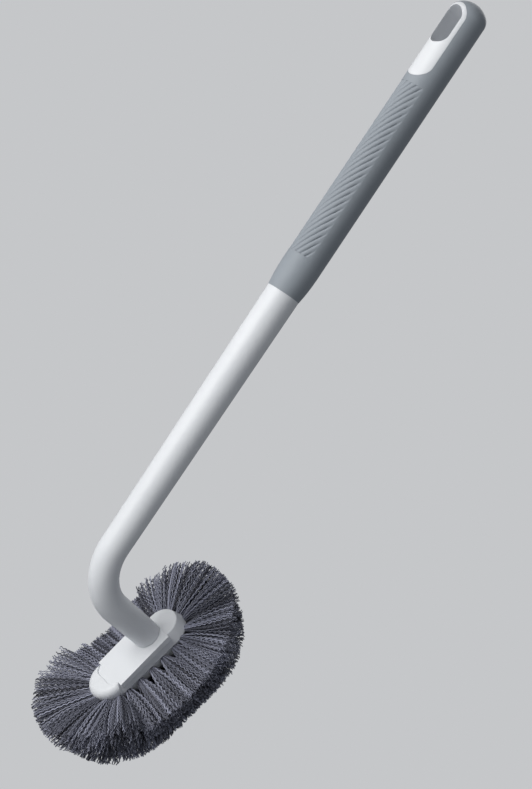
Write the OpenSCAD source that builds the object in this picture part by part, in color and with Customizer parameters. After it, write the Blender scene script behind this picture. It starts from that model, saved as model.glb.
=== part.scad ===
// Long handled cleaning brush with a bent neck and a boat shaped head.
// It hangs from the slot in its grip: Z runs up the handle, the origin is the
// middle of the slot, X points from the slot panel to the side of the head.

/* [Grip] */
// Diameter of the grip
grip_d = 22; // [20:0.5:26]
// Length of the grip from its domed top to its lower end
grip_len = 186; // [170:1:220]
// Width of the hanging slot
slot_w = 12.6; // [8:0.2:13]
// Length of the hanging slot
slot_len = 23.6; // [16:0.2:26]
// Width of the pale panel round the slot
panel_w = 16.3; // [14.5:0.1:17]
// Length of the pale panel
panel_len = 47; // [44:0.5:54]
// Number of spiral ribs
rib_count = 20; // [12:1:24]
// Length of the ribbed band
rib_len = 108; // [80:0.5:110]

/* [Handle] */
// Drop from the slot to the start of the bend
bend_drop = 330.5; // [280:0.5:420]
// Diameter of the tube where it leaves the grip
shoulder_d = 19.4; // [18:0.1:19.5]
// Diameter of the tube in the bend
bend_d = 16.9; // [15:0.1:18]
// Diameter of the tube where it meets the head
foot_d = 16.1; // [15:0.1:17]
// Radius of the bend along the middle of the tube
bend_r = 30.8; // [26:0.2:45]
// Angle of the bend
bend_angle = 79.6; // [70:0.2:90]
// Straight run of tube after the bend
foot_run = 31; // [24:0.5:45]

/* [Head] */
// Lean of the plate under the neck
plate_lean = 14.6; // [8:0.2:20]
// Tilt of the block under the plate, toe end up
block_tilt = 2.5; // [1:0.25:3]
// Length of the block
block_len = 66.4; // [64:0.2:74]
// Width of the block
block_w = 25; // [25:0.5:26]
// Length of the shortest bristles outside the block
bristle_len = 31; // [22:0.5:36]
// Width of a strand at its root
strand_w = 1; // [0.7:0.05:1.1]

/* [Hidden] */
$fn = 64;

// Grip heights, with the slot in the middle of the frame
slot_cover = 6.7;
grip_top = slot_len / 2 + slot_cover;
grip_bottom = grip_top - grip_len;
dome_r = 0.57 * grip_d;
dome_fillet = 0.3 * grip_d;
grip_end_d = shoulder_d + 0.2;
taper_len = 17;
panel_thick = 1.2;
panel_rim = 2.3;
panel_top = slot_len / 2 + panel_rim;
panel_bottom = panel_top - panel_len;
rib_gap = 4.2;
rib_top = panel_bottom - rib_gap;
rib_depth = 0.75;
rib_lead = 5.5;
rib_inset = 0.1;
rib_seat = 1.6;
rib_overlap = 1;
rib_reach = 60;

// Tube and its hidden end inside the grip
core_d = 15.4;
bore_d = 11.4;
core_rise = 9;
core_top = panel_bottom + core_rise;
bore_end = 11;
spigot_d = 9;
spigot_len = 6;
boss_d = 12;
boss_len = 8.5;
weld = 0.06;
screw_d = 3.5;
screw_head_d = 7;
screw_head_h = 2.4;
screw_reach = 10;

// Plate on the block: square corners that overhang, and a rounded tongue at the toe end
plate_w = block_w + 0.8;
plate_corner_len = 0.56 * block_len;
toe_tongue = 4.4;
toe_tongue_w = 19.6;
plate_thick = 3.1;
plate_tongue = 5;
tongue_inset = 2.5;
foot_offset = 11.1;

// Block heights below the top of the plate, in the tilted frame of the block
block_top = -0.1;
belt_top = -7.8;
shoulder_top = -12.6;
sole_top = -16.2;
block_bottom = -19.6;
keel_step = 3;
edge_r = 0.6;
wall_draft = 18;
toe_edge_r = 4;
toe_draft = 0;
end_x = (block_len - block_w) / 2;
zone_z = [belt_top, shoulder_top, sole_top, block_bottom];
end_zone_z = [belt_top + 2.6, shoulder_top + 1.7, sole_top + 1.2, block_bottom];
side_slice = 2.6;
shoulder_slice = 5.5;
zone_inner = [block_w / 2 - side_slice, block_w / 2 - shoulder_slice, 0];

// Bristle rows: side row, shoulder row and lower row
row_r = [block_w / 2 - 0.2, block_w / 2 - 2.3, block_w / 2 - 6.5];
row_z = [-10.2, -14.6, -18.2];
row_rise_side = [1.2, 0.6, 0];
row_rise_toe = [3.4, 1.8, 1];
row_rise_heel = [2.4, 1.8, 1];
row_droop = [12, 36, 61];
row_curl_toe = [28, 24, 22];
row_curl_heel = [20, 22, 22];
row_extra_toe = [3.5, 2, 1];
row_extra_heel = [1.5, 0.5, 0];
row_end_tufts = [6, 5, 3];
side_tufts = 5;
tuft_pitch = 2 * end_x / (side_tufts - 0.25);
tuft_lean = 0.24;
sole_tufts = 5;
sole_pitch = 2 * end_x / (sole_tufts + 0.2);
sole_z = -18.6;
sole_lean = 0.38;
sole_trim = 1;
tuft_root_r = 1.2;
side_spread = [4, 3.6];
end_spread = 4.2;
end_fill = 0.9;
sole_spread = [3.6, 3.6];
tuft_strands = 7;
strand_sink = 1;
sole_half = row_r[2] - tuft_root_r - strand_w;
anchor_depth = [4, 5, 5];
anchor_size = [2, 0.4, 1.4];

// Places of the neck end, the plate and the block
module at_bend_end() {
    translate([bend_r, 0, -bend_drop])
        rotate([0, -bend_angle, 0])
            translate([-bend_r, 0, 0])
                children();
}

module at_neck() {
    at_bend_end()
        translate([0, 0, -foot_run])
            children();
}

module at_plate() {
    at_neck()
        rotate([0, bend_angle + plate_lean - 90, 0])
            translate([-foot_offset, 0, 0])
                children();
}

module at_block() {
    at_plate()
        rotate([0, block_tilt, 0])
            children();
}

// A pill shaped bar through the grip along X
module pill_bar(width, top, bottom, x0, x1) {
    translate([x0, 0, 0])
        rotate([90, 0, 90])
            linear_extrude(x1 - x0) {
                translate([0, top - width / 2])
                    circle(d = width);
                translate([0, bottom + width / 2])
                    circle(d = width);
                translate([-width / 2, bottom + width / 2])
                    square([width, top - bottom - width]);
            }
}

// Half profile of the grip, shrunk by inset
module grip_profile(inset) {
    r = grip_d / 2 - inset;
    fillet_z = grip_top - dome_r + sqrt(pow(dome_r - dome_fillet, 2) - pow(grip_d / 2 - dome_fillet, 2));
    cap_r = (grip_d / 2 - dome_fillet) * (dome_r - inset) / (dome_r - dome_fillet);
    arc_r = (pow(taper_len, 2) + pow((grip_d - grip_end_d) / 2, 2)) / (grip_d - grip_end_d);
    intersection() {
        union() {
            translate([0, grip_bottom])
                square([r, fillet_z - grip_bottom]);
            translate([grip_d / 2 - dome_fillet, fillet_z])
                circle(dome_fillet - inset);
            intersection() {
                translate([0, grip_top - dome_r])
                    circle(dome_r - inset, $fn = 128);
                translate([0, fillet_z])
                    square([cap_r, dome_r]);
            }
        }
        union() {
            translate([0, grip_bottom + taper_len])
                square([r, grip_len]);
            translate([grip_d / 2 - arc_r, grip_bottom + taper_len])
                circle(arc_r - inset, $fn = 360);
        }
        translate([0, grip_bottom])
            square([grip_d, grip_len]);
    }
}

module grip_solid(inset) {
    rotate_extrude($fn = 96)
        grip_profile(inset);
}

module slot_cut() {
    pill_bar(slot_w, slot_len / 2, -slot_len / 2, -grip_d, grip_d);
}

// Outline of the ribbed band, one rounded lobe for each rib
module rib_outline() {
    lobe_steps = 3;
    points = [
        for (i = [0 : rib_count * lobe_steps - 1])
            let (a = 360 * i / (rib_count * lobe_steps))
            let (r = grip_d / 2 - rib_inset - (i % lobe_steps == 0 ? rib_depth : 0))
            [r * cos(a), r * sin(a)]
    ];
    polygon(points);
}

module spiral_ribs() {
    tall = rib_len + 2 * rib_overlap;
    turn = 360 / rib_count * tall / rib_lead;
    translate([0, 0, rib_top - rib_len - rib_overlap])
        linear_extrude(tall, twist = -turn, slices = round(turn / 10), convexity = 8)
            rib_outline();
}

// The front of the grip, out to where the ribs end, between two heights
module rib_front(low, high) {
    translate([0, 0, low])
        linear_extrude(high - low)
            polygon([
                [0, 0],
                [-grip_d * cos(rib_reach), grip_d * sin(rib_reach)],
                [-2 * grip_d, 0],
                [-grip_d * cos(rib_reach), -grip_d * sin(rib_reach)]
            ]);
}

module grip() {
    color("slategray")
        difference() {
            union() {
                difference() {
                    grip_solid(0);
                    intersection() {
                        rib_front(rib_top - rib_len, rib_top);
                        difference() {
                            cylinder(h = 2 * grip_len, d = grip_d + 4, center = true);
                            cylinder(h = 3 * grip_len, d = grip_d - 2 * rib_seat, center = true);
                        }
                    }
                }
                spiral_ribs();
            }
            slot_cut();
            difference() {
                pill_bar(panel_w, panel_top, panel_bottom, -grip_d, 0);
                grip_solid(panel_thick);
            }
            translate([0, 0, grip_bottom - 1])
                cylinder(h = core_top - grip_bottom + 1, d = core_d);
        }
}

module slot_panel() {
    color("white")
        difference() {
            intersection() {
                grip_solid(0);
                pill_bar(panel_w, panel_top, panel_bottom, -grip_d, 0);
            }
            grip_solid(panel_thick);
            slot_cut();
        }
}

module bend(d) {
    translate([bend_r, 0, -bend_drop])
        rotate([-90, 0, 180])
            rotate_extrude(angle = bend_angle, $fn = 128)
                translate([bend_r, 0])
                    circle(d = d);
}

module handle() {
    straight = bend_drop + grip_bottom;
    color("white")
        difference() {
            union() {
                translate([0, 0, -bend_drop])
                    cylinder(h = straight, d1 = bend_d, d2 = shoulder_d);
                translate([0, 0, grip_bottom])
                    cylinder(h = core_top - grip_bottom, d = core_d);
                bend(bend_d);
                difference() {
                    at_bend_end()
                        translate([0, 0, -foot_run - 2])
                            cylinder(h = foot_run + 2 + weld, d1 = foot_d, d2 = bend_d + weld);
                    at_plate()
                        translate([-block_len / 2, -block_w, -10])
                            cube([block_len, 2 * block_w, 10]);
                }
                at_neck()
                    translate([0, 0, -spigot_len])
                        cylinder(h = spigot_len + 2, d = spigot_d);
            }
            translate([0, 0, -bend_drop])
                cylinder(h = bend_drop + core_top + 1, d = bore_d);
            bend(bore_d);
            at_bend_end()
                translate([0, 0, bore_end - foot_run])
                    cylinder(h = foot_run - bore_end, d = bore_d);
            at_neck()
                translate([0, 0, -spigot_len - 1])
                    cylinder(h = screw_reach + 1, d = screw_d);
        }
}

// Plate outline with its toe tongue
module plate_outline(inset) {
    corner = toe_tongue - inset;
    square([plate_corner_len - 2 * inset, plate_w - 2 * inset], center = true);
    for (side = [-1, 1])
        translate([-plate_corner_len / 2, side * (toe_tongue_w / 2 - toe_tongue)])
            circle(corner);
    translate([-plate_corner_len / 2 - corner, toe_tongue - toe_tongue_w / 2])
        square([2 * corner, toe_tongue_w - 2 * toe_tongue]);
}

module plate_slab(thick, inset) {
    at_plate()
        translate([0, 0, -thick])
            linear_extrude(thick)
                plate_outline(inset);
}

module plate_space() {
    plate_slab(plate_thick, 0);
    plate_slab(plate_tongue, tongue_inset);
    at_plate()
        linear_extrude(block_len / 10)
            plate_outline(0);
    boss();
}

module boss() {
    at_neck()
        translate([0, 0, -boss_len])
            cylinder(h = boss_len, d = boss_d);
}

module above_plate() {
    at_plate()
        translate([-block_len, -block_w, 0])
            cube([2 * block_len, 2 * block_w, boss_len]);
}

module neck_plate() {
    color("white")
        difference() {
            union() {
                plate_slab(plate_thick, 0);
                plate_slab(plate_tongue, tongue_inset);
                difference() {
                    boss();
                    above_plate();
                }
            }
            at_neck() {
                translate([0, 0, -spigot_len])
                    cylinder(h = 2 * spigot_len, d = spigot_d);
                translate([0, 0, -boss_len - 1])
                    cylinder(h = boss_len, d = screw_d);
            }
        }
}

module neck_screw() {
    color("silver")
        at_neck()
            difference() {
                union() {
                    translate([0, 0, -boss_len])
                        cylinder(h = boss_len - spigot_len + screw_reach, d = screw_d);
                    translate([0, 0, -boss_len - screw_head_h])
                        cylinder(h = screw_head_h, d = screw_head_d);
                }
                for (turn = [0, 90])
                    rotate([0, 0, turn])
                        translate([-2, -0.4, -boss_len - screw_head_h - 1])
                            cube([4, 0.8, 2.4]);
            }
}

// Half of the block's cross section: the wall rises to a rounded top edge, and the
// facets below it are square to the bristles. The toe is rounder than the rest.
module block_section(name) {
    half = block_w / 2;
    draft = name == "toe" ? toe_draft : wall_draft;
    top_r = name == "toe" ? toe_edge_r : edge_r;
    round_z = block_top - top_r;
    round_x = half - (round_z - belt_top) * tan(draft) - top_r / cos(draft);
    translate([round_x, round_z])
        circle(top_r, $fn = 40);
    polygon([
        [0, block_top],
        [round_x, block_top],
        [round_x, round_z],
        [round_x + top_r * cos(draft), round_z + top_r * sin(draft)],
        [half, belt_top],
        [half, shoulder_top],
        [half - keel_step, sole_top],
        [half - 2.5 * keel_step, block_bottom],
        [0, block_bottom]
    ]);
}

// The part of that section between two heights, from a radius outwards
module ring_section(name, inner, low, high) {
    intersection() {
        block_section(name);
        translate([inner, low])
            square([block_w, high - low]);
    }
}

module core_section(name, levels) {
    difference() {
        block_section(name);
        for (row = [0 : 2])
            translate([zone_inner[row], levels[row + 1]])
                square([block_w, levels[row] - levels[row + 1]]);
    }
}

module end_turn(name) {
    side = name == "toe" ? -1 : 1;
    translate([side * end_x, 0, 0])
        rotate([0, 0, -90 * side])
            rotate_extrude(angle = 180, $fn = 96)
                children();
}

module side_run(name) {
    mirror([0, name == "left" ? 0 : 1, 0])
        translate([-end_x, 0, 0])
            rotate([90, 0, 90])
                linear_extrude(2 * end_x)
                    children();
}

module head_block() {
    color("white")
        difference() {
            at_block()
                difference() {
                    union() {
                        for (name = ["left", "right"])
                            side_run(name)
                                core_section(name, zone_z);
                        for (name = ["toe", "heel"])
                            end_turn(name)
                                core_section(name, end_zone_z);
                    }
                    for (row = [0 : 2])
                        row_anchors(row);
                    sole_anchors();
                }
            plate_space();
            at_neck()
                translate([0, 0, -boss_len - screw_head_h - 1])
                    cylinder(h = boss_len, d = screw_head_d + 1);
        }
}

// Bristle directions bend up towards the ends of the block
function end_share(x) = pow(x / (block_len / 2), 2);
function curl(row, x) = x < 0 ? row_curl_toe[row] : row_curl_heel[row];
function extra(row, x) = x < 0 ? row_extra_toe[row] : row_extra_heel[row];
function droop(row, x) = row_droop[row] - curl(row, x) * end_share(x);
function end_rise(row, x) = x < 0 ? row_rise_toe[row] : row_rise_heel[row];
function tuft_z(row, x, rise) = row_z[row] + rise * end_share(x);
function tuft_len(row, x) = bristle_len + extra(row, x) * end_share(x);
function aim(turn, down) = [cos(turn) * cos(down), sin(turn) * cos(down), -sin(down)];
function side_turn(x) = 90 - atan(tuft_lean * x / bristle_len);
function unit(v) = v / norm(v);

// Each tuft is a list: root, direction, length, spread along and across the row
function side_tuft(row, i, side) =
    let (x = (i - (side_tufts - 1) / 2) * tuft_pitch)
    let (turn = side * side_turn(x))
    let (root = [x, side * row_r[row], tuft_z(row, x, row_rise_side[row])])
    [root, aim(turn, droop(row, x)), tuft_len(row, x), side_spread];

function end_tuft(row, j, side) =
    let (count = row_end_tufts[row])
    let (place = -90 + 180 * (j + 0.5) / count)
    let (x = side * (end_x + row_r[row] * cos(place)))
    let (fan = place * side_turn(end_x) / 90)
    let (turn = side > 0 ? fan : 180 - fan)
    let (wide = tuft_len(row, x) * sin(90 / count) * cos(droop(row, x)) * end_fill)
    let (root = [x, row_r[row] * sin(place), tuft_z(row, x, end_rise(row, x))])
    [root, aim(turn, droop(row, x)), tuft_len(row, x), [wide, end_spread]];

function sole_tuft(i) =
    let (x = (i - (sole_tufts - 1) / 2) * sole_pitch)
    let (lean = atan(sole_lean * x / bristle_len))
    [[x, 0, sole_z], [sin(lean), 0, -cos(lean)], bristle_len - sole_trim, sole_spread];

module strand(base, tip, u, v) {
    corner = [for (k = [0 : 2]) cos(120 * k) * u + sin(120 * k) * v];
    points = concat(
        [for (c = corner) base + c * strand_w / 2],
        [for (c = corner) tip + c * strand_w * 0.35]
    );
    polyhedron(points, [
        [0, 1, 2], [3, 5, 4],
        [0, 3, 4], [0, 4, 1],
        [1, 4, 5], [1, 5, 2],
        [2, 5, 3], [2, 3, 0]
    ]);
}

module tuft(spec) {
    dir = spec[1];
    across = abs(dir[2]) > 0.9 ? [0, 1, 0] : [0, 0, 1];
    u = unit(cross(across, dir));
    v = cross(dir, u);
    base = spec[0] - strand_sink * dir;
    tip = spec[0] + spec[2] * dir;
    strand(base, tip, u, v);
    for (k = [1 : tuft_strands - 1]) {
        a = 60 * k;
        ring = cos(a) * u * tuft_root_r + sin(a) * v * tuft_root_r;
        fan = cos(a) * u * spec[3][0] + sin(a) * v * spec[3][1];
        strand(base + ring, tip + fan, u, v);
    }
}

module side_bristles(row, name) {
    color("dimgray")
        at_block() {
            side_run(name)
                ring_section(name, row == 2 ? sole_half : zone_inner[row], zone_z[row + 1], zone_z[row]);
            for (i = [0 : side_tufts - 1])
                tuft(side_tuft(row, i, name == "left" ? 1 : -1));
        }
}

module end_bristles(row, name) {
    color("dimgray")
        at_block() {
            end_turn(name)
                ring_section(name, zone_inner[row], end_zone_z[row + 1], end_zone_z[row]);
            for (j = [0 : row_end_tufts[row] - 1])
                tuft(end_tuft(row, j, name == "heel" ? 1 : -1));
        }
}

module sole() {
    color("dimgray")
        at_block() {
            translate([-end_x, -sole_half, block_bottom])
                cube([2 * end_x, 2 * sole_half, sole_top - block_bottom]);
            for (i = [0 : sole_tufts - 1])
                tuft(sole_tuft(i));
        }
}

// Flat wire anchors that hold the folded tufts, sealed inside the block
module anchor(spec, depth) {
    dir = spec[1];
    across = abs(dir[2]) > 0.9 ? [0, 1, 0] : [0, 0, 1];
    u = unit(cross(across, dir));
    v = cross(dir, u);
    place = spec[0] - depth * dir;
    multmatrix([
        [u[0], v[0], dir[0], place[0]],
        [u[1], v[1], dir[1], place[1]],
        [u[2], v[2], dir[2], place[2]],
        [0, 0, 0, 1]
    ])
        cube(anchor_size, center = true);
}

module row_anchors(row) {
    for (side = [-1, 1]) {
        for (i = [0 : side_tufts - 1])
            anchor(side_tuft(row, i, side), anchor_depth[row]);
        for (j = [0 : row_end_tufts[row] - 1])
            anchor(end_tuft(row, j, side), anchor_depth[row]);
    }
}

module sole_anchors() {
    for (i = [0 : sole_tufts - 1])
        anchor(sole_tuft(i), anchor_depth[2]);
}

module anchors_side() {
    color("gold")
        at_block()
            row_anchors(0);
}

module anchors_shoulder() {
    color("gold")
        at_block()
            row_anchors(1);
}

module anchors_sole() {
    color("gold")
        at_block() {
            row_anchors(2);
            sole_anchors();
        }
}

handle();
grip();
slot_panel();
neck_plate();
neck_screw();
head_block();
anchors_side();
anchors_shoulder();
anchors_sole();
side_bristles(0, "left");  // side_left
side_bristles(0, "right");  // side_right
end_bristles(0, "toe");  // side_toe
end_bristles(0, "heel");  // side_heel
side_bristles(1, "left");  // shoulder_left
side_bristles(1, "right");  // shoulder_right
end_bristles(1, "toe");  // shoulder_toe
end_bristles(1, "heel");  // shoulder_heel
side_bristles(2, "left");  // lower_left
side_bristles(2, "right");  // lower_right
end_bristles(2, "toe");  // lower_toe
end_bristles(2, "heel");  // lower_heel
sole();
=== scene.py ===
import math

import bmesh
import bpy
import numpy as np
from mathutils import Matrix, Vector


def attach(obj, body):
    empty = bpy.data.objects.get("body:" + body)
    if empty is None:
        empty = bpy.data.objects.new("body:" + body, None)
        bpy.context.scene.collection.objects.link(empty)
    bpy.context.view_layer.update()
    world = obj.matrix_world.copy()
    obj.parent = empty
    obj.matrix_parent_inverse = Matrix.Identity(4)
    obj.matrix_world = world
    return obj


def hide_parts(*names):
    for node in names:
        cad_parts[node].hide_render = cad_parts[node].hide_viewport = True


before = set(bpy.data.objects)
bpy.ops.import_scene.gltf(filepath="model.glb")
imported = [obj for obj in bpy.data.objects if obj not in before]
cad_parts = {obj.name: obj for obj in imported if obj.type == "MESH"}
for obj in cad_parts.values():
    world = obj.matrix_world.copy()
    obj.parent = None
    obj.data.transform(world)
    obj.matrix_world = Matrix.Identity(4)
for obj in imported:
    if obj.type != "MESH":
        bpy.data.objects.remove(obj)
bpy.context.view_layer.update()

# Lengths are in millimetres here and become metres when a mesh is made
MM = 0.001

# Grip
GRIP_R = 11.0
GRIP_TOP = 18.5
GRIP_BOTTOM = -167.5
GRIP_END_R = 9.8
TAPER = 17.0
DOME_R = 12.54
DOME_FILLET = 6.6
SLOT_W, SLOT_HALF = 12.6, 11.8
PANEL_W, PANEL_TOP, PANEL_BOTTOM = 16.3, 14.1, -32.9
PANEL_THICK = 1.2
RIB_TOP, RIB_LEN = -37.1, 108.0
RIB_COUNT, RIB_LEAD = 20, 5.5
RIB_INSET, RIB_DEPTH = 0.12, 0.9
RIB_REACH, RIB_FADE = math.radians(60), math.radians(12)
GRIP_LIP = 0.35

# Rings of the grip's mesh: height of the dense part of the dome, and distances from the sharp edges
DOME_DROP = 9.0
RIM_NEAR, RIM_FAR = 0.25, 0.6
LIP_RISE = 0.15

# Cuts into the grip: clearance round the panel, height from which its seat leans inwards and how much
# shallower it gets there, and the seat's end
SEAT_CLEARANCE = 0.08
SEAT_BEND, SEAT_THINNING, SEAT_END = 9.0, 0.4, -60.0
CUT_REACH = 30.0

# Handle tube
BEND_DROP = 330.5
BEND_R, BEND_ANGLE = 30.8, math.radians(79.6)
FOOT_RUN = 31.0
SHOULDER_R, BEND_TUBE_R, FOOT_R = 9.7, 8.45, 8.05
TUBE_IN_GRIP = 4.0

# Groove round the foot of the tube, just over the plate, and how far the tube goes on past its foot
GROOVE_TALL, GROOVE_DEPTH, GROOVE_EDGE = 0.65, 0.4, 0.1
FOOT_SINK = 0.9

# Head
PLATE_LEAN = math.radians(14.6)
BLOCK_TILT = math.radians(2.5)
FOOT_OFFSET = 11.1
END_X, BLOCK_R = 20.7, 12.5
BLOCK_HALF = END_X + BLOCK_R
BLOCK_TOP, BLOCK_BOTTOM = -0.1, -19.6
BELT_Z = -7.8
WALL_DRAFT, EDGE_R = math.radians(18), 0.6
TOE_DRAFT, TOE_EDGE_R = 0.0, 4.0
TOE_BLEND = 2.0
PLATE_HALF_LEN, PLATE_HALF_W = 18.59, 12.9
TOE_TONGUE, TOE_TONGUE_HALF_W = 4.4, 9.8
PLATE_THICK = 3.1
PLATE_GAP, PLATE_SEAT_TALL = 0.015, 12.0
SHOULDER_Z, SOLE_Z = -12.6, -16.2
KEEL_STEP = 3.0

# How far the block's wall steps in at the top, middle and foot of its belt, and above and below its shoulder
BELT_HALF, BELT_IN = 0.6, (0.1, 0.25, 0.5)
SHOULDER_RISE, SHOULDER_DROP, SHOULDER_IN = 0.4, 0.2, (0.6, 0.9)

# Smallest ring that closes a mesh at its middle, and the width of the ring at the edge of the block's top
POLE_R, TOP_BAND = 0.3, 3.0

# Bristle rows: side, shoulder, lower
BRISTLE_LEN = 31.0
ROW_R = [12.3, 10.2, 6.0]
ROW_Z = [-10.2, -14.6, -18.2]
ROW_RISE_SIDE = [1.2, 0.6, 0.0]
ROW_RISE_END = [(3.4, 2.4), (1.8, 1.8), (1.0, 1.0)]
ROW_DROOP = [12.0, 36.0, 61.0]
ROW_CURL = [(28.0, 20.0), (24.0, 22.0), (22.0, 22.0)]
ROW_EXTRA = [(3.5, 1.5), (2.0, 0.5), (1.0, 0.0)]
ROW_END_TUFTS = [6, 5, 3]
SIDE_TUFTS, TUFT_LEAN = 5, 0.24
TUFT_PITCH = 2 * END_X / (SIDE_TUFTS - 0.25)
SOLE_TUFTS, SOLE_LEAN = 5, 0.38
SOLE_PITCH = 2 * END_X / (SOLE_TUFTS + 0.2)
SOLE_ROOT_Z, SOLE_SHORTER = -18.6, 1.0

# Holes of the tufts: how deep they go, how much narrower they get there, and how they flare outside
HOLE_R, HOLE_DEPTH, HOLE_TAPER = 2.3, 3.0, 0.15
HOLE_MOUTH, HOLE_FLARE = 0.2, 1.2

# How many degrees further up than in the solids the tufts of the toe point, right and left, and the share
# of it for each row. It fades with the distance from the middle of the block, to nothing at the tip
TOE_LIFT = (24.0, 2.0)
LIFT_SHARE = (1, 0.6, 0.25)

# Half width of a tuft's tips along its row, or how much wider than its share of the turn at an end
SIDE_WIDE, END_WIDER, SOLE_WIDE = 5.7, 2.9, 5.6

# Spread of a tuft's tips above and below its middle, for each row, along the sides, at toe and heel
SPREAD_SIDE = [(2.4, 7.0), (6.5, 7.5), (7.5, 7.5)]
SPREAD_END = [[(8.0, 8.5), (9.0, 9.0), (9.0, 8.0)], [(4.5, 8.5), (9.0, 9.0), (9.0, 8.0)]]
SPREAD_SOLE = (8.0, 8.0)

# Filaments of a tuft, which cling together in locks. The tips lie on a ball at the ends of the block and
# on a low dome elsewhere
FILAMENTS = 92
FILAMENT_R, FILAMENT_R_RANGE = 0.32, (0.9, 1.12)
STEPS = 46
LOCKS, CLING = 46, 0.3
ROOT_DEPTH, ROOT_SPREAD = 2.0, 1.75
FLARE, CORNER_REACH = 1.4, 1.28
ROUND_TRIM, DOME_TRIM = 0.4, 0.6
GOLDEN_ANGLE = 2.39996

# Crimp, and how it grows from the root: its rate, its delay and the share that is always there
CRIMP, CRIMP_PERIOD = 0.42, 3.3
CRIMP_RATE, CRIMP_DELAY, CRIMP_LEAST = 4, 0.3, 0.15

# Random spreads shared by a lock, and those of each filament: angles in radians, lengths in millimetres,
# period and shade as shares
LOCK_PHASE, LOCK_PLANE, LOCK_PERIOD = 0.5, 0.35, 0.03
LOCK_SHADE, LOCK_DRIFT, LOCK_SAG = 0.18, 0.22, 0.45
OWN_PHASE, OWN_PLANE, OWN_PLACE = 0.2, 0.25, 0.03
OWN_SHADE, OWN_DRIFT, OWN_SAG, OWN_TRIM = 0.16, 0.16, 0.15, 0.22
TUFT_SHADE = 0.08

# Colours, for a mix its dark and its light end
WHITE = (0.74, 0.76, 0.79), (0.8, 0.815, 0.84)
GRIP_GREY = (0.27, 0.3, 0.335), (0.32, 0.35, 0.385)
BRISTLE_GREY = (0.012, 0.012, 0.018), (0.44, 0.455, 0.57)
STEEL_GREY = (0.62, 0.62, 0.6)
BRASS_YELLOW = (0.72, 0.55, 0.26)

# Floor and sky
GROUND = (0.56, 0.57, 0.585)
FLOOR_Z, FLOOR_HALF = -478.0, 6000.0
SKY_COLOUR, SKY_STRENGTH = (0.9, 0.94, 1), 0.17

# Camera fitted to the photograph
CAMERA_AT = Vector((-622.9, -745.3, -212.5)) * MM
CAMERA_AZIMUTH, CAMERA_PITCH = math.radians(48.792), math.radians(0.311)
CAMERA_ROLL = math.radians(33.733)
LENS, SENSOR_WIDTH = 82.49, 36
LAMPS_AIM = Vector((30.0, 0.0, -210.0)) * MM


def link(name, data):
    """A new object in the scene that holds a mesh, a lamp or a camera."""
    obj = bpy.data.objects.new(name, data)
    bpy.context.scene.collection.objects.link(obj)
    return obj


def mesh_object(name, verts, faces, smooth=True):
    mesh = bpy.data.meshes.new(name)
    mesh.from_pydata((np.asarray(verts, float) * MM).tolist(), [], faces)
    mesh.validate()
    for polygon in mesh.polygons:
        polygon.use_smooth = smooth
    return link(name, mesh)


def grid_faces(rows, columns):
    """Quads between closed rings of vertices, with a fan of one face at each end."""
    faces = []
    for i in range(rows - 1):
        for j in range(columns):
            k = (j + 1) % columns
            faces.append((i * columns + j, i * columns + k, (i + 1) * columns + k, (i + 1) * columns + j))
    faces.append(tuple(range(columns))[::-1])
    faces.append(tuple(range((rows - 1) * columns, rows * columns)))
    return faces


def apply_modifiers(obj):
    depsgraph = bpy.context.evaluated_depsgraph_get()
    mesh = bpy.data.meshes.new_from_object(obj.evaluated_get(depsgraph))
    obj.modifiers.clear()
    obj.data = mesh


def subtract(obj, cutters, crossing=False):
    """Cuts the cutters away; crossing says that parts of one cutter run through each other."""
    for cutter in cutters:
        modifier = obj.modifiers.new("cut", "BOOLEAN")
        modifier.operation = "DIFFERENCE"
        modifier.solver = "EXACT"
        modifier.use_self = crossing
        modifier.object = cutter
    apply_modifiers(obj)
    for cutter in cutters:
        bpy.data.objects.remove(cutter)


def sharpen(obj, degrees):
    """Smooth shading with hard edges above an angle."""
    mesh = obj.data
    made = bmesh.new()
    made.from_mesh(mesh)
    for edge in made.edges:
        edge.smooth = len(edge.link_faces) == 2 and edge.calc_face_angle(0) < math.radians(degrees)
    for face in made.faces:
        face.smooth = True
    made.to_mesh(mesh)
    made.free()


# Places of the head parts
def rotation_y(angle):
    return Matrix.Rotation(angle, 4, "Y")


def bend_end():
    centre = Matrix.Translation((BEND_R, 0, -BEND_DROP))
    return centre @ rotation_y(-BEND_ANGLE) @ Matrix.Translation((-BEND_R, 0, 0))


NECK = bend_end() @ Matrix.Translation((0, 0, -FOOT_RUN))
PLATE = NECK @ rotation_y(BEND_ANGLE + PLATE_LEAN - math.pi / 2) @ Matrix.Translation((-FOOT_OFFSET, 0, 0))
BLOCK = PLATE @ rotation_y(BLOCK_TILT)


def placed(matrix, points):
    """Points of a part's own frame, in the frame of the whole brush."""
    m = np.array(matrix)
    return np.asarray(points) @ m[:3, :3].T + m[:3, 3]


# Grip
def grip_radius(z):
    """Radius of the plain grip at a height."""
    fillet_z = GRIP_TOP - DOME_R + math.sqrt((DOME_R - DOME_FILLET) ** 2 - (GRIP_R - DOME_FILLET) ** 2)
    dome_z = GRIP_TOP - DOME_R
    tangent_z = dome_z + (fillet_z - dome_z) * DOME_R / (DOME_R - DOME_FILLET)
    if z > tangent_z:
        return math.sqrt(max(DOME_R**2 - (z - dome_z) ** 2, 0))
    if z > fillet_z:
        return GRIP_R - DOME_FILLET + math.sqrt(DOME_FILLET**2 - (z - fillet_z) ** 2)
    drop = GRIP_BOTTOM + TAPER - z
    if drop > 0:
        arc = (TAPER**2 + (GRIP_R - GRIP_END_R) ** 2) / (2 * (GRIP_R - GRIP_END_R))
        return GRIP_R - arc + math.sqrt(arc**2 - drop**2)
    return GRIP_R


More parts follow.
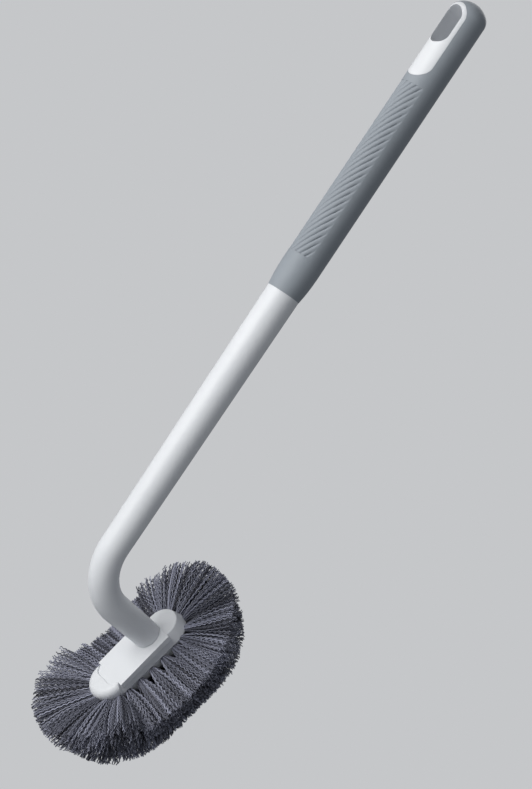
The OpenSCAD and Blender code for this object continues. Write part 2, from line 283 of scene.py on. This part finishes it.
def rib_dip(angles, z):
    """How far the ribbed front lies under the plain grip: round lobes with narrow grooves."""
    turn = 2 * math.pi / RIB_COUNT * (z - RIB_TOP) / RIB_LEAD
    place = (RIB_COUNT * (angles - turn) / (2 * math.pi)) % 1.0
    side = np.abs(2 * place - 1)
    lobe = 1 - np.sqrt(np.clip(1 - side**2, 0, 1))
    fade = np.clip((RIB_REACH - np.abs(angles - math.pi)) / RIB_FADE, 0, 1)
    return fade * (RIB_INSET + RIB_DEPTH * lobe)


def dome_heights(top, first_angle, count):
    return top - (1 - np.cos(np.linspace(first_angle, math.pi / 2, count))) * DOME_DROP


def grip_heights():
    """Heights of the grip's rings, close together in the dome, in the ribs and at each sharp edge."""
    dome = dome_heights(GRIP_TOP, 0.03, 26)
    plain = np.linspace(dome[-1] - 1.0, RIB_TOP + RIM_FAR, 24)
    band = np.linspace(RIB_TOP, RIB_TOP - RIB_LEN, 260)
    rim = np.array([RIB_TOP + RIM_NEAR])
    low_rim = np.array([band[-1] - RIM_NEAR, band[-1] - RIM_FAR])
    low = np.linspace(band[-1] - 1.5, GRIP_BOTTOM + 0.5, 18)
    end = np.array([GRIP_BOTTOM + LIP_RISE, GRIP_BOTTOM])
    return np.concatenate([dome, plain, rim, band, low_rim, low, end])


def make_grip():
    columns = 360
    angles = np.arange(columns) * 2 * math.pi / columns
    verts = []
    heights = grip_heights()
    for z in heights:
        radius = np.full(columns, grip_radius(z))
        if RIB_TOP - RIB_LEN - 1e-6 <= z <= RIB_TOP + 1e-6:
            radius -= rib_dip(angles, z)
        if z <= GRIP_BOTTOM + 1e-6:
            radius -= GRIP_LIP
        verts.append(np.stack([radius * np.cos(angles), radius * np.sin(angles), np.full(columns, z)], 1))
    faces = [face[::-1] for face in grid_faces(len(heights), columns)]
    return mesh_object("grip_skin", np.concatenate(verts), faces)


def pill_bar(name, width, top, bottom, x0, x1):
    """A pill shaped bar along X, for cutting."""
    steps = 48
    half = width / 2
    ring = []
    for k in range(steps + 1):
        a = math.pi * k / steps
        ring.append((half * math.cos(a), top - half + half * math.sin(a)))
    for k in range(steps + 1):
        a = math.pi + math.pi * k / steps
        ring.append((half * math.cos(a), bottom + half + half * math.sin(a)))
    verts = [(x0, y, z) for y, z in ring] + [(x1, y, z) for y, z in ring]
    return mesh_object(name, verts, grid_faces(2, len(ring)))


def inner_grip(inset):
    """The grip shrunk by an inset, which is what the panel's seat leaves standing."""
    columns = 128
    angles = np.arange(columns) * 2 * math.pi / columns
    heights = np.concatenate([dome_heights(GRIP_TOP - inset, 0.05, 24), [SEAT_END]])
    verts = []
    for z in heights:
        lean = max(0.0, (z - SEAT_BEND) / SEAT_BEND)
        outer = grip_radius(min(z + inset * lean, GRIP_TOP - 0.01))
        radius = max(outer - inset * (1 - SEAT_THINNING * lean), POLE_R)
        verts.append(np.stack([radius * np.cos(angles), radius * np.sin(angles), np.full(columns, z)], 1))
    faces = [face[::-1] for face in grid_faces(len(heights), columns)]
    return mesh_object("inner_grip", np.concatenate(verts), faces)


# Handle tube, swept along its bent middle line
def handle_line():
    """Points on the middle line with the direction and radius there."""
    rows = []
    for z in np.linspace(GRIP_BOTTOM + TUBE_IN_GRIP, -BEND_DROP, 40):
        share = min((GRIP_BOTTOM - z) / (BEND_DROP + GRIP_BOTTOM), 1)
        radius = SHOULDER_R + (BEND_TUBE_R - SHOULDER_R) * max(share, 0)
        rows.append(((0.0, 0.0, z), 0.0, radius))
    for angle in np.linspace(0, BEND_ANGLE, 40)[1:]:
        x = BEND_R * (1 - math.cos(angle))
        z = -BEND_DROP - BEND_R * math.sin(angle)
        rows.append(((x, 0.0, z), angle, BEND_TUBE_R))
    start = np.array(rows[-1][0])
    along = np.array([math.sin(BEND_ANGLE), 0, -math.cos(BEND_ANGLE)])
    groove = FOOT_RUN - GROOVE_TALL
    runs = np.linspace(0, FOOT_RUN - 1.1, 20)[1:]
    for run in [*runs, groove - GROOVE_EDGE, groove + GROOVE_EDGE]:
        radius = BEND_TUBE_R + (FOOT_R - BEND_TUBE_R) * run / FOOT_RUN
        if run > groove:
            radius -= GROOVE_DEPTH
        rows.append((tuple(start + along * run), BEND_ANGLE, radius))
    rows.append((tuple(start + along * (FOOT_RUN + FOOT_SINK)), BEND_ANGLE, FOOT_R - GROOVE_DEPTH))
    return rows


def make_handle():
    columns = 96
    around = np.arange(columns) * 2 * math.pi / columns
    verts = []
    rows = handle_line()
    for point, angle, radius in rows:
        across = np.array([math.cos(angle), 0, math.sin(angle)])
        ring = np.outer(np.cos(around), across) + np.outer(np.sin(around), (0, 1, 0))
        verts.append(np.array(point) + ring * radius)
    faces = [face[::-1] for face in grid_faces(len(rows), columns)]
    return mesh_object("handle_skin", np.concatenate(verts), faces)


# Head block, one section carried round a stadium whose toe end is rounder
ARC = np.linspace(-math.pi / 2, math.pi / 2, 49)


def block_ring(rest, toe):
    """One ring of the block, with its radius and height at the toe and elsewhere."""
    radius, z = rest
    heel_arc = [(END_X + radius * math.cos(a), radius * math.sin(a), z) for a in ARC]
    toe_arc = [(-END_X - toe[0] * math.cos(a), -toe[0] * math.sin(a), toe[1]) for a in ARC]
    start = TOE_BLEND - END_X
    return [*heel_arc, (start, radius, z), *toe_arc, (start, -radius, z)]


def block_section(draft, edge_r):
    """Radius and height of the block's rings, from the middle of its top down to the middle of its sole."""
    round_z = BLOCK_TOP - edge_r
    round_r = BLOCK_R - (round_z - BELT_Z) * math.tan(draft) - edge_r / math.cos(draft)
    section = [(POLE_R, BLOCK_TOP), (round_r - TOP_BAND, BLOCK_TOP)]
    for k in range(9):
        a = math.pi / 2 - (math.pi / 2 - draft) * k / 8
        section.append((round_r + edge_r * math.cos(a), round_z + edge_r * math.sin(a)))
    return section + [
        (BLOCK_R - BELT_IN[0], BELT_Z + BELT_HALF),
        (BLOCK_R - BELT_IN[1], BELT_Z),
        (BLOCK_R - BELT_IN[2], BELT_Z - BELT_HALF),
        (BLOCK_R - SHOULDER_IN[0], SHOULDER_Z + SHOULDER_RISE),
        (BLOCK_R - SHOULDER_IN[1], SHOULDER_Z - SHOULDER_DROP),
        (BLOCK_R - KEEL_STEP, SOLE_Z),
        (BLOCK_R - 2.5 * KEEL_STEP, BLOCK_BOTTOM),
        (POLE_R, BLOCK_BOTTOM),
    ]


def make_block():
    rings = []
    for rest, toe in zip(block_section(WALL_DRAFT, EDGE_R), block_section(TOE_DRAFT, TOE_EDGE_R)):
        rings.append(block_ring(rest, toe))
    faces = [face[::-1] for face in grid_faces(len(rings), len(rings[0]))]
    return mesh_object("block_body", placed(BLOCK, np.concatenate(rings)), faces)


def plate_seat():
    """The plate's outline from its underside upwards, which the block leaves free."""
    centre_y = TOE_TONGUE_HALF_W - TOE_TONGUE
    radius = TOE_TONGUE + PLATE_GAP
    half_len, half_w = PLATE_HALF_LEN + PLATE_GAP, PLATE_HALF_W + PLATE_GAP
    ring = [(half_len, -half_w), (half_len, half_w), (-half_len, half_w)]
    for side in (1, -1):
        for k in range(13):
            a = math.pi * (1 if side > 0 else 2) / 2 + math.pi / 2 * k / 12
            ring.append((-PLATE_HALF_LEN + radius * math.cos(a), side * centre_y + radius * math.sin(a)))
    ring.append((-half_len, -half_w))
    verts = [(x, y, z) for z in (-PLATE_THICK, PLATE_SEAT_TALL) for x, y in ring]
    return mesh_object("plate_seat", placed(PLATE, verts), grid_faces(2, len(ring)))


# Tufts, in the frame of the block. A tuft is given by its root, its direction, its length, whether its
# tips lie on a ball, and how far they spread sideways, up and down
def end_share(x):
    """0 at the middle of the block and 1 at its ends."""
    return (x / BLOCK_HALF) ** 2


def droop(row, x):
    return ROW_DROOP[row] - ROW_CURL[row][x > 0] * end_share(x)


def tuft_len(row, x):
    return BRISTLE_LEN + ROW_EXTRA[row][x > 0] * end_share(x)


def tuft_z(row, x, rise):
    return ROW_Z[row] + rise * end_share(x)


def aim(turn, down):
    """Direction that is turned from the heel to the left, and leans down, by angles in degrees."""
    t, d = math.radians(turn), math.radians(down)
    return np.array([math.cos(t) * math.cos(d), math.sin(t) * math.cos(d), -math.sin(d)])


def side_turn(x):
    return 90 - math.degrees(math.atan(TUFT_LEAN * x / BRISTLE_LEN))


def side_tufts(row, side):
    tufts = []
    for i in range(SIDE_TUFTS):
        x = (i - (SIDE_TUFTS - 1) / 2) * TUFT_PITCH
        root = np.array([x, side * ROW_R[row], tuft_z(row, x, ROW_RISE_SIDE[row])])
        direction = aim(side * side_turn(x), droop(row, x))
        tufts.append((root, direction, tuft_len(row, x), False, SIDE_WIDE, *SPREAD_SIDE[row]))
    return tufts


def end_tufts(row, side):
    tufts = []
    count = ROW_END_TUFTS[row]
    for j in range(count):
        place = -90 + 180 * (j + 0.5) / count
        x = side * (END_X + ROW_R[row] * math.cos(math.radians(place)))
        fan = place * side_turn(END_X) / 90
        turn = fan if side > 0 else 180 - fan
        length = tuft_len(row, x)
        spread = length * math.sin(math.pi / 2 / count) * math.cos(math.radians(droop(row, x)))
        height = tuft_z(row, x, ROW_RISE_END[row][x > 0])
        root = np.array([x, ROW_R[row] * math.sin(math.radians(place)), height])
        lift = LIFT_SHARE[row] * TOE_LIFT[place > 0] * (1 - end_share(x)) if side < 0 else 0
        direction = aim(turn, droop(row, x) - lift)
        tufts.append((root, direction, length, True, spread + END_WIDER, *SPREAD_END[x > 0][row]))
    return tufts


def sole_tufts():
    tufts = []
    for i in range(SOLE_TUFTS):
        x = (i - (SOLE_TUFTS - 1) / 2) * SOLE_PITCH
        lean = math.atan(SOLE_LEAN * x / BRISTLE_LEN)
        root = np.array([x, 0, SOLE_ROOT_Z])
        direction = np.array([math.sin(lean), 0, -math.cos(lean)])
        tufts.append((root, direction, BRISTLE_LEN - SOLE_SHORTER, False, SOLE_WIDE, *SPREAD_SOLE))
    return tufts


def tuft_axes(direction):
    """Two axes square to a tuft, the first along its row and the second upwards, or sideways at the sole."""
    across = np.array([0.0, 1, 0]) if abs(direction[2]) > 0.9 else np.array([0.0, 0, 1])
    u = np.cross(across, direction)
    u /= np.linalg.norm(u)
    return u, np.cross(direction, u)


def sunflower(k, count):
    """Places spread evenly over a disc of radius 1."""
    reach = math.sqrt((k + 0.5) / count)
    angle = k * GOLDEN_ANGLE
    return np.array([reach * math.cos(angle), reach * math.sin(angle)])


def squared(place):
    """Pushes a place on a disc out towards the corners of a square, as packed tufts are."""
    reach = np.linalg.norm(place)
    return place * min(reach / max(np.abs(place).max(), 1e-6), CORNER_REACH)


class Lock:
    """A few filaments of a tuft that cling together and share their crimp."""

    def __init__(self, k, rng):
        self.place = sunflower(k, LOCKS)
        self.phase = rng.normal(0, LOCK_PHASE)
        self.plane = rng.normal(0, LOCK_PLANE)
        self.period = CRIMP_PERIOD * rng.uniform(1 - LOCK_PERIOD, 1 + LOCK_PERIOD)
        self.shade = rng.normal(0, LOCK_SHADE)
        self.drift = rng.normal(0, LOCK_DRIFT, 3)
        self.sag = rng.normal(0, LOCK_SAG, 2)


def tube_faces():
    """Quads along a three sided tube, and last the triangle that caps its tip."""
    faces = []
    for i in range(STEPS - 1):
        for j in range(3):
            k = (j + 1) % 3
            faces.append((i * 3 + j, i * 3 + k, (i + 1) * 3 + k, (i + 1) * 3 + j))
    faces.append((STEPS * 3 - 3, STEPS * 3 - 2, STEPS * 3 - 1))
    return faces


def filament_line(spec, place, lock, rng):
    """Middle line of one filament, from inside its hole to its trimmed end."""
    root, direction, length, rounded, wide, up, down = spec
    u, v = tuft_axes(direction)
    t = np.linspace(0, 1, STEPS)
    du, dv = place
    held = squared((1 - CLING) * place + CLING * lock.place)
    start = root - ROOT_DEPTH * direction + ROOT_SPREAD * (du * u + dv * v)
    trim = rng.normal(0, OWN_TRIM) + (ROUND_TRIM if rounded else -DOME_TRIM * (du**2 + dv**2))
    reach = (length + trim) * direction + wide * held[0] * u + (up if dv > 0 else down) * held[1] * v
    if rounded:
        reach *= (length + trim) / np.linalg.norm(reach)
    tip = root + reach + lock.drift + rng.normal(0, OWN_DRIFT, 3)
    line = start + np.outer(t, tip - start)
    sag = lock.sag + rng.normal(0, OWN_SAG, 2)
    bow = np.sin(t * math.pi)[:, None] * ((sag[0] + FLARE * held[0]) * u + (sag[1] + FLARE * held[1]) * v)
    plane = lock.plane + rng.normal(0, OWN_PLANE)
    size = CRIMP * np.clip(t * CRIMP_RATE - CRIMP_DELAY, CRIMP_LEAST, 1)
    wave = size * np.sin(2 * math.pi * t * length / lock.period + lock.phase + rng.normal(0, OWN_PHASE))
    return line + bow + wave[:, None] * (math.cos(plane) * u + math.sin(plane) * v)


def make_filaments(name, tufts, rng):
    """Crimped filaments for a run of tufts, each a thin three sided tube."""
    corner = np.arange(3) * 2 * math.pi / 3
    *sides, cap = tube_faces()
    sides, cap = np.array(sides), np.array(cap)
    verts, faces, shades = [], [], []
    for spec in tufts:
        u, v = tuft_axes(spec[1])
        tuft_shade = rng.uniform(-TUFT_SHADE, TUFT_SHADE)
        locks = [Lock(k, rng) for k in range(LOCKS)]
        centres = np.array([lock.place for lock in locks])
        for k in range(FILAMENTS):
            place = sunflower(k, FILAMENTS) + rng.normal(0, OWN_PLACE, 2)
            lock = locks[int(np.argmin(((centres - place) ** 2).sum(1)))]
            line = filament_line(spec, place, lock, rng)
            radius = FILAMENT_R * rng.uniform(*FILAMENT_R_RANGE)
            ring = radius * (np.outer(np.cos(corner), u) + np.outer(np.sin(corner), v))
            first = len(verts) * STEPS * 3
            verts.append((line[:, None, :] + ring[None]).reshape(-1, 3))
            faces += (sides + first).tolist()
            faces.append((cap + first).tolist())
            shades.append(np.full(STEPS * 3, tuft_shade + lock.shade + rng.normal(0, OWN_SHADE)))
    obj = mesh_object(name, placed(BLOCK, np.concatenate(verts)), faces)
    shade = obj.data.attributes.new("shade", "FLOAT", "POINT")
    shade.data.foreach_set("value", np.concatenate(shades).astype(np.float32))
    return obj


def hole_cutter(tufts):
    """Round holes that the tufts stand in, one mesh for all."""
    columns = 24
    around = np.arange(columns) * 2 * math.pi / columns
    profile = (
        (-HOLE_DEPTH, HOLE_R - HOLE_TAPER),
        (HOLE_MOUTH, HOLE_R),
        (HOLE_DEPTH, HOLE_R + HOLE_FLARE),
    )
    verts, faces = [], []
    for root, direction, *_ in tufts:
        u, v = tuft_axes(direction)
        first = len(verts)
        for along, radius in profile:
            ring = np.outer(np.cos(around), u) + np.outer(np.sin(around), v)
            verts += list(root + along * direction + radius * ring)
        faces += [tuple(i + first for i in face) for face in grid_faces(len(profile), columns)]
    return mesh_object("holes", placed(BLOCK, verts), faces)


# Materials
def node_material(name):
    material = bpy.data.materials.new(name)
    material.use_nodes = True
    tree = material.node_tree
    return material, tree, tree.nodes["Principled BSDF"]


def noise(tree, scale, detail):
    """Even grain fixed to the object, with its scale in cells for each metre."""
    texture = tree.nodes.new("ShaderNodeTexNoise")
    texture.inputs["Scale"].default_value = scale
    texture.inputs["Detail"].default_value = detail
    coordinates = tree.nodes.new("ShaderNodeTexCoord")
    tree.links.new(coordinates.outputs["Object"], texture.inputs["Vector"])
    return texture.outputs["Fac"]


def ramp(tree, value, low, high, start=0.0, end=1.0):
    """Maps a value between start and end to a range."""
    node = tree.nodes.new("ShaderNodeMapRange")
    node.inputs["From Min"].default_value = start
    node.inputs["From Max"].default_value = end
    node.inputs["To Min"].default_value = low
    node.inputs["To Max"].default_value = high
    tree.links.new(value, node.inputs["Value"])
    return node.outputs["Result"]


def mix_colour(tree, factor, dark, light):
    node = tree.nodes.new("ShaderNodeMix")
    node.data_type = "RGBA"
    node.inputs["A"].default_value = (*dark, 1)
    node.inputs["B"].default_value = (*light, 1)
    tree.links.new(factor, node.inputs["Factor"])
    return node.outputs["Result"]


def bump(tree, height, strength, distance):
    node = tree.nodes.new("ShaderNodeBump")
    node.inputs["Strength"].default_value = strength
    node.inputs["Distance"].default_value = distance
    tree.links.new(height, node.inputs["Height"])
    return node


def plastic_material(name, edge_r):
    """Satin white plastic, with its sharp edges shaded as if rounded by edge_r."""
    material, tree, shader = node_material(name)
    tree.links.new(mix_colour(tree, noise(tree, 22, 3), *WHITE), shader.inputs["Base Color"])
    tree.links.new(ramp(tree, noise(tree, 60, 6), 0.44, 0.55), shader.inputs["Roughness"])
    shader.inputs["Subsurface Weight"].default_value = 0.08
    shader.inputs["Subsurface Radius"].default_value = (0.003, 0.003, 0.003)
    shader.inputs["Subsurface Scale"].default_value = 0.6
    grain = bump(tree, noise(tree, 1400, 2), 0.04, 0.0001)
    if edge_r > 0:
        edge = tree.nodes.new("ShaderNodeBevel")
        edge.samples = 4
        edge.inputs["Radius"].default_value = edge_r * MM
        tree.links.new(edge.outputs["Normal"], grain.inputs["Normal"])
    tree.links.new(grain.outputs["Normal"], shader.inputs["Normal"])
    return material


def grip_material():
    """Soft matt plastic with a fine grain."""
    material, tree, shader = node_material("grip_rubber")
    tree.links.new(mix_colour(tree, noise(tree, 35, 5), *GRIP_GREY), shader.inputs["Base Color"])
    tree.links.new(ramp(tree, noise(tree, 240, 5), 0.52, 0.68), shader.inputs["Roughness"])
    shader.inputs["Sheen Weight"].default_value = 0.12
    shader.inputs["Sheen Roughness"].default_value = 0.5
    shader.inputs["Specular IOR Level"].default_value = 0.4
    grain = bump(tree, noise(tree, 2600, 3), 0.25, 0.00012)
    tree.links.new(grain.outputs["Normal"], shader.inputs["Normal"])
    return material


def bristle_material():
    """Grey filaments, each as dark or light as the shade kept on its mesh."""
    material, tree, shader = node_material("bristle")
    shade = tree.nodes.new("ShaderNodeAttribute")
    shade.attribute_name = "shade"
    level = ramp(tree, shade.outputs["Fac"], 0, 1, -0.5, 0.5)
    tree.links.new(mix_colour(tree, level, *BRISTLE_GREY), shader.inputs["Base Color"])
    shader.inputs["Roughness"].default_value = 0.42
    shader.inputs["Specular IOR Level"].default_value = 0.45
    return material


def metal_material(name, colour, rough):
    material, tree, shader = node_material(name)
    shader.inputs["Base Color"].default_value = (*colour, 1)
    shader.inputs["Metallic"].default_value = 1.0
    tree.links.new(ramp(tree, noise(tree, 300, 4), rough - 0.06, rough + 0.06), shader.inputs["Roughness"])
    return material


def paint(obj, material, slot_name):
    obj.data.materials.clear()
    obj.data.materials.append(material)


def add_piece(obj, material, slot_name, node_name):
    """Shows a piece in place of the node of the solids with that name."""
    paint(obj, material, slot_name)
    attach(obj, "root")
    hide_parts(node_name)


def paint_slot_walls_lit(obj, material):
    """The walls of the slot are painted in the panel's pale plastic as painted light: in shade they read as
    lit walls, where the grip's rubber would read dark.
    """
    obj.data.materials.append(material)
    for face in obj.data.polygons:
        x, y, z = face.center / MM
        beyond = max(abs(z) - SLOT_HALF + SLOT_W / 2, 0)
        on_wall = math.hypot(y, beyond) < SLOT_W / 2 + 0.05
        if on_wall and abs(face.normal.x) < 0.2:
            face.material_index = 1


PLASTIC = plastic_material("white_plastic", 0.2)
PANEL_PLASTIC = plastic_material("panel_plastic", 0)
RUBBER = grip_material()
BRISTLE = bristle_material()
STEEL = metal_material("screw_steel", STEEL_GREY, 0.3)
BRASS = metal_material("anchor_brass", BRASS_YELLOW, 0.35)

# Build
grip = make_grip()
seat_ends = PANEL_TOP + SEAT_CLEARANCE, PANEL_BOTTOM - SEAT_CLEARANCE
seat = pill_bar("seat", PANEL_W + 2 * SEAT_CLEARANCE, *seat_ends, -CUT_REACH, 0)
subtract(seat, [inner_grip(PANEL_THICK)])
slot = pill_bar("slot", SLOT_W, SLOT_HALF, -SLOT_HALF, -CUT_REACH - 1, CUT_REACH + 1)
subtract(grip, [seat, slot])
sharpen(grip, 40)
add_piece(grip, RUBBER, "grip_rubber", "grip")
# Painted light: the slot's walls get the panel's pale plastic instead of the grip's rubber, so that they read
# lit in shade
paint_slot_walls_lit(grip, PANEL_PLASTIC)

handle = make_handle()
sharpen(handle, 35)
add_piece(handle, PLASTIC, "white_plastic", "handle")

rows = ("side", "shoulder", "lower")
bundles = {}
for row, row_name in enumerate(rows):
    bundles[row_name + "_left"] = side_tufts(row, 1)
    bundles[row_name + "_right"] = side_tufts(row, -1)
    bundles[row_name + "_toe"] = end_tufts(row, -1)
    bundles[row_name + "_heel"] = end_tufts(row, 1)
bundles["sole"] = sole_tufts()

block = make_block()
subtract(block, [plate_seat()])
subtract(block, [hole_cutter([tuft for tufts in bundles.values() for tuft in tufts])], crossing=True)
sharpen(block, 32)
add_piece(block, PLASTIC, "white_plastic", "head_block")

rng = np.random.default_rng(7)
for name, tufts in bundles.items():
    add_piece(make_filaments(name + "_filaments", tufts, rng), BRISTLE, "bristle", name)


# Nodes that keep the shape of the solids
def carried_look(name):
    """Material and slot of a node that no piece of the scene replaces."""
    if name == "slot_panel":
        return PANEL_PLASTIC, "panel_plastic"
    if name == "neck_screw":
        return STEEL, "steel"
    if name.startswith("anchors"):
        return BRASS, "brass"
    return PLASTIC, "white_plastic"


for name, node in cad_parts.items():
    if node.hide_render:
        continue
    if name in ("slot_panel", "neck_plate"):
        sharp = node.modifiers.new("edges", "EDGE_SPLIT")
        sharp.split_angle = math.radians(30)
    paint(node, *carried_look(name))


# Floor, light and camera
def stage_material(colour):
    """Pale ground that the camera sees evenly lit, so that no horizon shows."""
    material = bpy.data.materials.new("stage")
    material.use_nodes = True
    tree = material.node_tree
    tree.nodes.clear()
    out = tree.nodes.new("ShaderNodeOutputMaterial")
    mix = tree.nodes.new("ShaderNodeMixShader")
    path = tree.nodes.new("ShaderNodeLightPath")
    matte = tree.nodes.new("ShaderNodeBsdfDiffuse")
    glow = tree.nodes.new("ShaderNodeEmission")
    matte.inputs["Color"].default_value = (*colour, 1)
    glow.inputs["Color"].default_value = (*colour, 1)
    tree.links.new(path.outputs["Is Camera Ray"], mix.inputs["Fac"])
    tree.links.new(matte.outputs["BSDF"], mix.inputs[1])
    tree.links.new(glow.outputs["Emission"], mix.inputs[2])
    tree.links.new(mix.outputs["Shader"], out.inputs["Surface"])
    return material


floor_corners = [(x * FLOOR_HALF, y * FLOOR_HALF, FLOOR_Z) for x, y in ((-1, -1), (1, -1), (1, 1), (-1, 1))]
floor = mesh_object("floor", floor_corners, [(0, 1, 2, 3)], False)
floor.data.materials.append(stage_material(GROUND))

world = bpy.data.worlds.new("studio")
bpy.context.scene.world = world
world.use_nodes = True
sky = world.node_tree
background = sky.nodes["Background"]
seen = sky.nodes.new("ShaderNodeBackground")
seen.inputs["Color"].default_value = (*GROUND, 1)
background.inputs["Color"].default_value = (*SKY_COLOUR, 1)
background.inputs["Strength"].default_value = SKY_STRENGTH
ray = sky.nodes.new("ShaderNodeLightPath")
choose = sky.nodes.new("ShaderNodeMixShader")
sky.links.new(ray.outputs["Is Camera Ray"], choose.inputs["Fac"])
sky.links.new(background.outputs["Background"], choose.inputs[1])
sky.links.new(seen.outputs["Background"], choose.inputs[2])
sky.links.new(choose.outputs["Shader"], sky.nodes["World Output"].inputs["Surface"])

back = Vector((
    -math.cos(CAMERA_PITCH) * math.cos(CAMERA_AZIMUTH),
    -math.cos(CAMERA_PITCH) * math.sin(CAMERA_AZIMUTH),
    math.sin(CAMERA_PITCH),
))
level = Vector((0, 0, 1)).cross(back).normalized()
upright = back.cross(level)
screen_x = math.cos(CAMERA_ROLL) * level + math.sin(CAMERA_ROLL) * upright
screen_y = -math.sin(CAMERA_ROLL) * level + math.cos(CAMERA_ROLL) * upright

camera = link("camera", bpy.data.cameras.new("camera"))
camera.matrix_world = Matrix.Translation(CAMERA_AT) @ Matrix((screen_x, screen_y, back)).transposed().to_4x4()
camera.data.lens = LENS
camera.data.sensor_width = SENSOR_WIDTH
camera.data.clip_start = 0.05
camera.data.clip_end = 50
bpy.context.scene.camera = camera


def add_light(name, direction, distance, size, power, colour=(1, 1, 1)):
    """A soft square lamp in a direction given on the camera's screen axes, aimed at the object."""
    towards = (direction[0] * screen_x + direction[1] * screen_y + direction[2] * back).normalized()
    lamp = bpy.data.lights.new(name, "AREA")
    lamp.size = size
    lamp.energy = power
    lamp.color = colour
    obj = link(name, lamp)
    obj.location = LAMPS_AIM + towards * distance
    obj.rotation_mode = "QUATERNION"
    obj.rotation_quaternion = (-towards).to_track_quat("-Z", "Y")


add_light("key", (-0.62, 0.55, 0.6), distance=1.3, size=0.8, power=15.6, colour=(1, 0.995, 0.98))
add_light("fill", (0.8, 0.1, 0.6), distance=1.5, size=0.9, power=1.1, colour=(0.9, 0.95, 1))
add_light("rim", (0.5, 0.5, -0.7), distance=1.3, size=0.6, power=4)

bpy.context.scene.view_settings.view_transform = "Standard"
